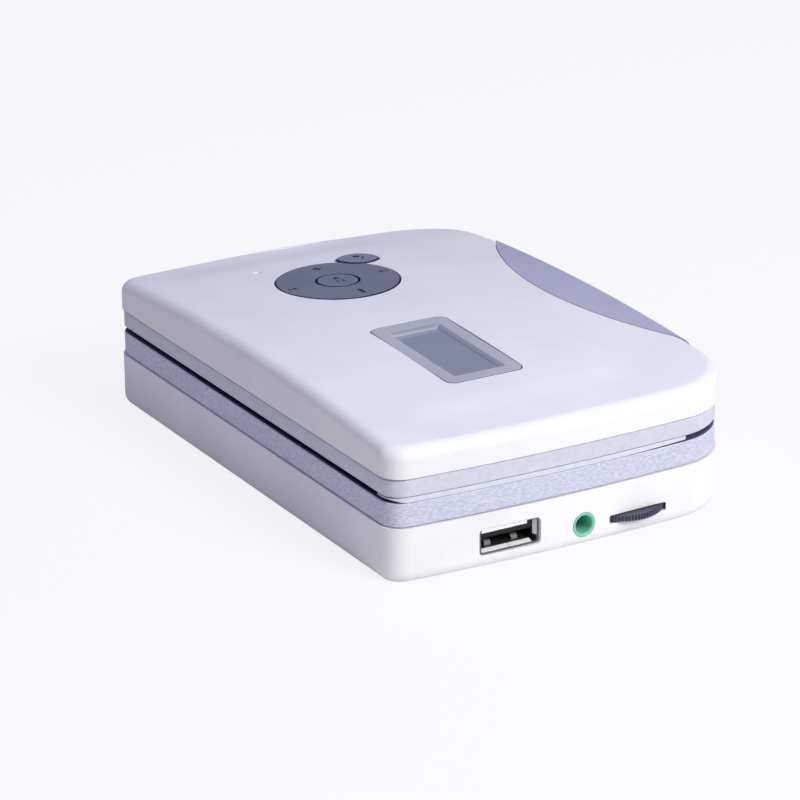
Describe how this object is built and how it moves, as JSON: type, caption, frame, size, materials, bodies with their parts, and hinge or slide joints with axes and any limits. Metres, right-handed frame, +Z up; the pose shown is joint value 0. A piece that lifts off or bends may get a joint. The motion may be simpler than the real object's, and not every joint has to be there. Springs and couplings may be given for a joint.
{
  "type": "usb cassette player",
  "caption": "Pocket cassette player with a hinged crowned lid, key dial, viewing window, silver bands, USB socket, audio jack and volume wheel.",
  "frame": {"origin": "middle of the case's plan, on the flat face it rests on", "axes": "+Z up through the lid, -Y out of the end with the ports, +X towards the lid's finger grip"},
  "size_m": [0.08, 0.1206, 0.0303],
  "materials": {
    "white_case": "satin moulded plastic",
    "silver_band": "brushed silver lacquer",
    "grip_silver": "satin silver lacquer",
    "slate_key": "matt moulded plastic",
    "window_frame": "satin moulded plastic",
    "window_tint": "tinted gloss plastic",
    "pilot_light": "clear lens",
    "dark_deck": "matt moulded plastic",
    "liner_plastic": "matt moulded plastic",
    "circuit_board": "solder-masked laminate",
    "black_plastic": "matt moulded plastic",
    "steel": "plated steel",
    "brass": "turned brass",
    "jack_green": "satin moulded plastic",
    "wheel_grey": "knurled moulded plastic",
    "rubber_black": "matt rubber",
    "gear_plastic": "natural moulded plastic"
  },
  "bodies": {
    "base": {"base_shell": "white_case", "base_trim": "silver_band", "deck": "dark_deck", "hinge_pins": "steel", "case_screws": "steel", "latch_spring": "steel", "main_board": "circuit_board", "board_chips": "black_plastic", "capacitors": "black_plastic", "usb_shell": "steel", "usb_insulator": "black_plastic", "usb_contacts": "brass", "audio_jack": "jack_green", "jack_contacts": "brass", "volume_pot": "black_plastic", "motor": "steel", "capstan_bush": "brass", "drive_belt": "rubber_black", "idler_pin": "steel"},
    "lid": {"lid_shell": "white_case", "lid_trim": "silver_band", "grip_inlay": "grip_silver", "window_bezel": "window_frame", "window_pane": "window_tint", "led_lens": "pilot_light", "key_board": "circuit_board", "key_switches": "brass", "lid_liner": "liner_plastic", "lid_screws": "steel", "cassette_springs": "steel", "hinge_arms": "dark_deck"},
    "dial_web": {"tilt_web": "liner_plastic"},
    "dial": {"ring_key": "slate_key"},
    "centre_key": {"centre_key": "slate_key"},
    "mode_key": {"mode_key": "slate_key"},
    "volume_wheel": {"volume_wheel": "wheel_grey"},
    "motor_rotor": {"motor_pulley": "brass"},
    "flywheel": {"flywheel": "steel", "capstan": "steel", "drive_pinion": "gear_plastic"},
    "idler": {"idler_gear": "gear_plastic"},
    "take_up": {"take_up_spindle": "gear_plastic", "take_up_gear": "gear_plastic"},
    "supply": {"supply_spindle": "gear_plastic", "supply_clip": "steel"},
    "head_plate": {"head_plate": "steel", "playback_head": "steel"},
    "pinch_arm": {"pinch_arm": "steel"},
    "pinch_roller": {"pinch_roller": "rubber_black"}
  },
  "joints": [
    {"name": "lid_hinge", "type": "hinge", "parent": "base", "child": "lid", "pos_m": [-0.0368, 0, 0.0135], "axis": [0, -1, 0], "range_deg": [0, 90]},
    {"name": "dial_tilt_x", "type": "hinge", "parent": "lid", "child": "dial_web", "pos_m": [-0.004, 0.02592, 0.02753], "axis": [1, 0, 0], "range_deg": [-1.2, 1.2], "stiffness_Nm_per_rad": 0.03},
    {"name": "dial_tilt_y", "type": "hinge", "parent": "dial_web", "child": "dial", "pos_m": [-0.004, 0.02592, 0.02753], "axis": [0, 0.999, -0.0441], "range_deg": [-1.2, 1.2], "stiffness_Nm_per_rad": 0.03},
    {"name": "centre_key_press", "type": "slide", "parent": "lid", "child": "centre_key", "axis": [0, -0.0441, -0.999], "range_m": [0, 0.00035], "stiffness_N_per_m": 100, "springref_m": -0.001},
    {"name": "mode_key_press", "type": "slide", "parent": "lid", "child": "mode_key", "axis": [0, -0.0441, -0.999], "range_m": [0, 0.00035], "stiffness_N_per_m": 100, "springref_m": -0.001},
    {"name": "volume_turn", "type": "hinge", "parent": "base", "child": "volume_wheel", "pos_m": [0.0143, -0.05222, 0.004], "axis": [0, 0, 1], "range_deg": [-150, 150]},
    {"name": "flywheel_spin", "type": "hinge", "parent": "base", "child": "flywheel", "pos_m": [0.0226, 0.02125, 0.005], "axis": [0, 0, 1], "continuous": true},
    {"name": "motor_spin", "type": "hinge", "parent": "base", "child": "motor_rotor", "pos_m": [0.0241, 0.04525, 0.005], "axis": [0, 0, 1], "continuous": true},
    {"name": "idler_spin", "type": "hinge", "parent": "base", "child": "idler", "pos_m": [0.01185, 0.02125, 0.0084], "axis": [0, 0, 1], "continuous": true},
    {"name": "take_up_spin", "type": "hinge", "parent": "base", "child": "take_up", "pos_m": [-0.0049, 0.02125, 0.014], "axis": [0, 0, 1], "continuous": true},
    {"name": "supply_spin", "type": "hinge", "parent": "base", "child": "supply", "pos_m": [-0.0049, -0.02125, 0.014], "axis": [0, 0, 1], "continuous": true},
    {"name": "head_slide", "type": "slide", "parent": "base", "child": "head_plate", "axis": [-1, 0, 0], "range_m": [0, 0.0035], "stiffness_N_per_m": 60, "springref_m": -0.001},
    {"name": "pinch_swing", "type": "hinge", "parent": "base", "child": "pinch_arm", "pos_m": [0.0345, 0.04, 0.0134], "axis": [0, 0, -1], "range_deg": [0, 10]},
    {"name": "roller_spin", "type": "hinge", "parent": "pinch_arm", "child": "pinch_roller", "pos_m": [0.0308, 0.02125, 0.017], "axis": [0, 0, 1], "continuous": true}
  ],
  "couplings": [
    {"joint": "motor_spin", "follows": "flywheel_spin", "ratio": 5.7},
    {"joint": "idler_spin", "follows": "flywheel_spin", "ratio": -0.59259},
    {"joint": "take_up_spin", "follows": "flywheel_spin", "ratio": 0.4},
    {"joint": "pinch_swing", "follows": "head_slide", "rad_per_m": 49.119}
  ]
}
